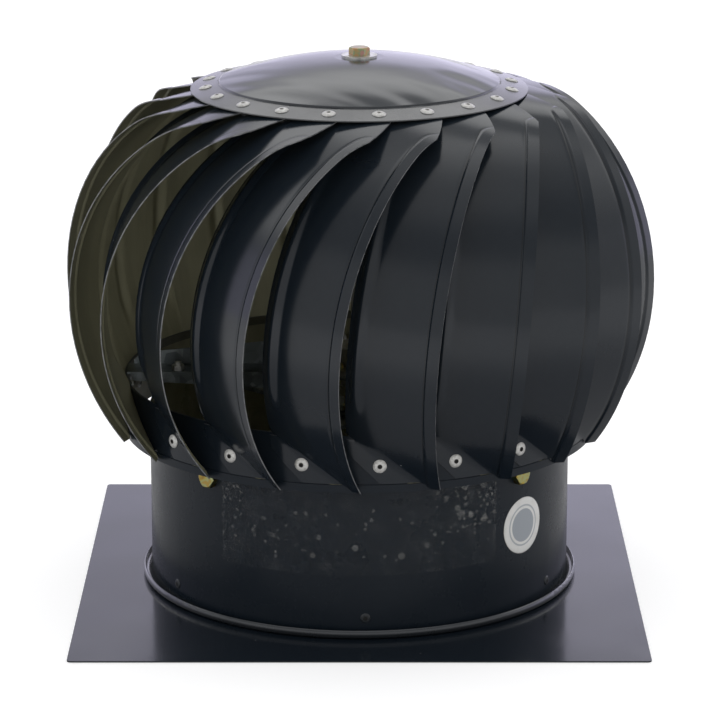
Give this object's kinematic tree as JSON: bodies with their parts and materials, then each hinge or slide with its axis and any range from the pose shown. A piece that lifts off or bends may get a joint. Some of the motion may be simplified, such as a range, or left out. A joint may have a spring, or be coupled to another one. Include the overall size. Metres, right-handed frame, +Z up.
{
  "type": "rotating chimney cowl",
  "caption": "Wind-driven rotating chimney cowl: bladed sheet-metal globe with a domed cap, turning on a fixed spindle above a round throat on a square base plate.",
  "frame": {"origin": "centre of the base plate's underside, on the spin axis", "axes": "+Z up along the spin axis; +X and +Y square to the base plate's sides, with -Y towards the picture's viewer"},
  "size_m": [0.4236, 0.4236, 0.3892],
  "materials": {
    "slate_paint": "semi-gloss slate grey paint",
    "blade_sheet": "semi-gloss slate grey outside, khaki backing coat inside",
    "galvanised": "spangled zinc",
    "yellow_zinc": "yellow passivated zinc",
    "rivet_aluminium": "bare",
    "turned_steel": "turned",
    "bronze": "sintered"
  },
  "bodies": {
    "base": {"base_plate": "slate_paint", "throat": "slate_paint", "throat_rivets": "slate_paint", "bracket_bar_lower": "galvanised", "bracket_bar_upper": "galvanised", "bracket_bolts": "yellow_zinc", "bracket_washers": "yellow_zinc", "bracket_nuts": "yellow_zinc", "spindle": "turned_steel", "spindle_washers": "yellow_zinc", "spindle_nuts": "yellow_zinc", "pivot_ball": "turned_steel", "spindle_circlip": "turned_steel"},
    "rotor": {"blade_01": "blade_sheet", "blade_02": "blade_sheet", "blade_03": "blade_sheet", "blade_04": "blade_sheet", "blade_05": "blade_sheet", "blade_06": "blade_sheet", "blade_07": "blade_sheet", "blade_08": "blade_sheet", "blade_09": "blade_sheet", "blade_10": "blade_sheet", "blade_11": "blade_sheet", "blade_12": "blade_sheet", "blade_13": "blade_sheet", "blade_14": "blade_sheet", "blade_15": "blade_sheet", "blade_16": "blade_sheet", "blade_17": "blade_sheet", "blade_18": "blade_sheet", "blade_19": "blade_sheet", "blade_20": "blade_sheet", "bottom_ring": "blade_sheet", "bottom_rivets": "rivet_aluminium", "top_cap": "slate_paint", "top_rivets": "rivet_aluminium", "cap_bolt": "yellow_zinc", "cap_washer": "yellow_zinc", "top_housing": "turned_steel", "top_bush": "bronze", "cross_bar": "galvanised", "end_brackets": "galvanised", "end_bolts": "yellow_zinc", "end_nuts": "yellow_zinc", "end_rivets": "rivet_aluminium", "lower_housing": "turned_steel", "lower_bush": "bronze", "housing_bolts": "yellow_zinc", "housing_nuts": "yellow_zinc"}
  },
  "joints": [
    {"name": "rotor_spin", "type": "hinge", "parent": "base", "child": "rotor", "pos_m": [0, 0, 0.25], "axis": [0, 0, 1], "continuous": true}
  ]
}
